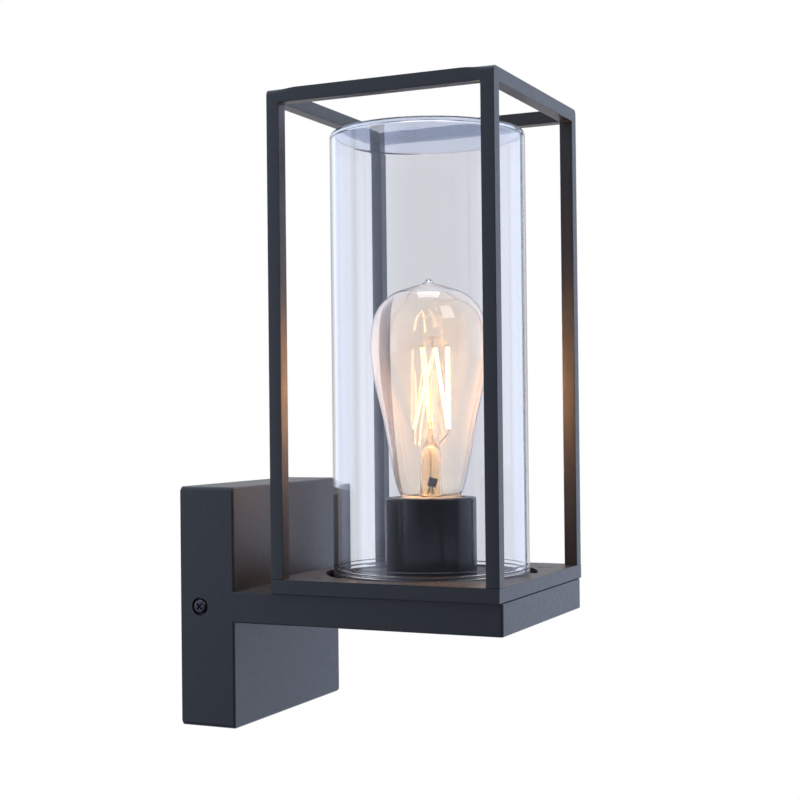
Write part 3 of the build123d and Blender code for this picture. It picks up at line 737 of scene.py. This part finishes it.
def place_camera():
    """Camera where the photograph's edges put it. Gives the direction that it looks in."""
    ahead = Vector((
        math.sin(LOOK_YAW) * math.cos(LOOK_PITCH),
        math.cos(LOOK_YAW) * math.cos(LOOK_PITCH),
        math.sin(LOOK_PITCH),
    ))
    right = Vector((math.cos(LOOK_YAW), -math.sin(LOOK_YAW), 0))
    up = right.cross(ahead)
    side = math.cos(LOOK_ROLL) * right + math.sin(LOOK_ROLL) * up
    rise = math.cos(LOOK_ROLL) * up - math.sin(LOOK_ROLL) * right
    turn = Matrix((side, rise, -ahead)).transposed().to_4x4()
    data = bpy.data.cameras.new("camera")
    data.lens = LENS_MM
    data.sensor_width = SENSOR_MM
    data.clip_start = 0.01
    camera = bpy.data.objects.new("camera", data)
    camera.matrix_world = Matrix.Translation(CAMERA_AT) @ turn
    bpy.context.scene.collection.objects.link(camera)
    bpy.context.scene.camera = camera
    return ahead


view_way = place_camera()


def soft_light(name, at, aim, size, power, colour):
    """Square area light at a place, turned to its aim."""
    data = bpy.data.lights.new(name, "AREA")
    data.shape = "SQUARE"
    data.size = size
    data.energy = power
    data.color = colour
    lamp = bpy.data.objects.new(name, data)
    at = Vector(at)
    turn = (aim - at).to_track_quat("-Z", "Y").to_matrix().to_4x4()
    lamp.matrix_world = Matrix.Translation(at) @ turn
    bpy.context.scene.collection.objects.link(lamp)


middle = Vector((0, -0.1, 0.12))
soft_light("overhead", (0.30, 0.02, 1.25), middle, 0.45, 2.2, (1.0, 0.97, 0.95))
soft_light("front", (-0.36, -0.88, 1.0), middle, 0.6, 5.0, (0.95, 0.97, 1.0))


def straight_through(tree):
    """One for rays that reach the camera directly or only through glass, nothing for reflected ones."""
    rays = tree.nodes.new("ShaderNodeLightPath")

    def step(operation, a, b):
        """Sum of two sockets, kept between nothing and one."""
        node = tree.nodes.new("ShaderNodeMath")
        node.operation = operation
        node.use_clamp = True
        for socket, value in zip(node.inputs, (a, b)):
            tree.links.new(value, socket)
        return node.outputs[0]

    seen = step("MAXIMUM", rays.outputs["Is Camera Ray"], rays.outputs["Is Transmission Ray"])
    bounced = step("ADD", rays.outputs["Glossy Depth"], rays.outputs["Diffuse Depth"])
    return step("SUBTRACT", seen, bounced)


def studio_world():
    """White behind the object. Reflections see a made-up room, fitted to patches of the photograph.

    It is bright high up on the wall side, on the far side and behind to the left, and dimmer and less blue
    in the direction the camera looks.
    """
    world = bpy.data.worlds.new("studio")
    bpy.context.scene.world = world
    world.use_nodes = True
    tree = world.node_tree
    ground = tree.nodes["Background"]
    way = tree.nodes.new("ShaderNodeTexCoord")

    def math_node(operation, a, b):
        """Sum of two sockets."""
        node = tree.nodes.new("ShaderNodeMath")
        node.operation = operation
        tree.links.new(a, node.inputs[0])
        tree.links.new(b, node.inputs[1])
        return node.outputs[0]

    def towards(direction, start, end, low, high):
        """Smooth step of how far a ray points along a direction."""
        dot = tree.nodes.new("ShaderNodeVectorMath")
        dot.operation = "DOT_PRODUCT"
        dot.inputs[1].default_value = direction
        tree.links.new(way.outputs["Generated"], dot.inputs[0])
        ramp = tree.nodes.new("ShaderNodeMapRange")
        ramp.interpolation_type = "SMOOTHSTEP"
        ramp.inputs["From Min"].default_value = start
        ramp.inputs["From Max"].default_value = end
        ramp.inputs["To Min"].default_value = low
        ramp.inputs["To Max"].default_value = high
        tree.links.new(dot.outputs["Value"], ramp.inputs["Value"])
        return ramp.outputs["Result"]

    wall_side = towards((0, 0.81, 0.58), start=0.10, end=0.60, low=0.12, high=1.15)
    far_side = towards((1.0, 0, 0.1), start=-0.2, end=0.5, low=0.0, high=1.42)
    behind_left = towards((-0.6, 0.8, 0), start=0.93, end=1.0, low=0.0, high=2.2)
    sides = math_node("MAXIMUM", math_node("MAXIMUM", wall_side, far_side), behind_left)
    dimmer = towards(tuple(view_way), start=0.80, end=0.96, low=1.0, high=0.45)
    lit = math_node("MULTIPLY", sides, dimmer)
    seen = straight_through(tree)
    level = tree.nodes.new("ShaderNodeMix")
    level.inputs["B"].default_value = 1.0
    tree.links.new(seen, level.inputs["Factor"])
    tree.links.new(lit, level.inputs["A"])
    tree.links.new(level.outputs["Result"], ground.inputs["Strength"])

    neutral = math_node("MAXIMUM", seen, towards(tuple(view_way), start=0.75, end=0.97, low=0.0, high=1.0))
    tone = tree.nodes.new("ShaderNodeMix")
    tone.data_type = "RGBA"
    tone.inputs["A"].default_value = (0.80, 0.91, 1.15, 1)
    tone.inputs["B"].default_value = (1, 1, 1, 1)
    tree.links.new(neutral, tone.inputs["Factor"])
    colours = [socket for socket in tone.outputs if socket.type == "RGBA"]
    tree.links.new(colours[0], ground.inputs["Color"])


studio_world()


FLOOR_HALF = 8          # metres
FLOOR_DROP = 0.35       # metres below the lantern


def pale_floor():
    """Pale floor, plain white where the camera sees it, and left out of reflections."""
    bm = bmesh.new()
    bmesh.ops.create_grid(bm, x_segments=1, y_segments=1, size=FLOOR_HALF)
    mesh = bpy.data.meshes.new("floor")
    bm.to_mesh(mesh)
    bm.free()
    floor = bpy.data.objects.new("floor", mesh)
    floor.location = (0, 0, CAD_BOX[0][2] - FLOOR_DROP)
    bpy.context.scene.collection.objects.link(floor)
    g = Graph("floor_white")
    g.set(Base_Color=(0.85, 0.87, 0.90, 1), Roughness=0.9)
    even = g.add("ShaderNodeEmission")
    either = g.add("ShaderNodeMixShader")
    g.link(straight_through(g.tree), either.inputs["Fac"])
    g.link(g.shader.outputs["BSDF"], either.inputs[1])
    g.link(even.outputs["Emission"], either.inputs[2])
    g.link(either.outputs["Shader"], g.output.inputs["Surface"])
    mesh.materials.append(g.material)
    floor.visible_glossy = False


pale_floor()
bpy.context.scene.view_settings.view_transform = "Standard"
bpy.context.scene.cycles.max_bounces = 24
bpy.context.scene.cycles.transmission_bounces = 24
bpy.context.scene.cycles.transparent_max_bounces = 16
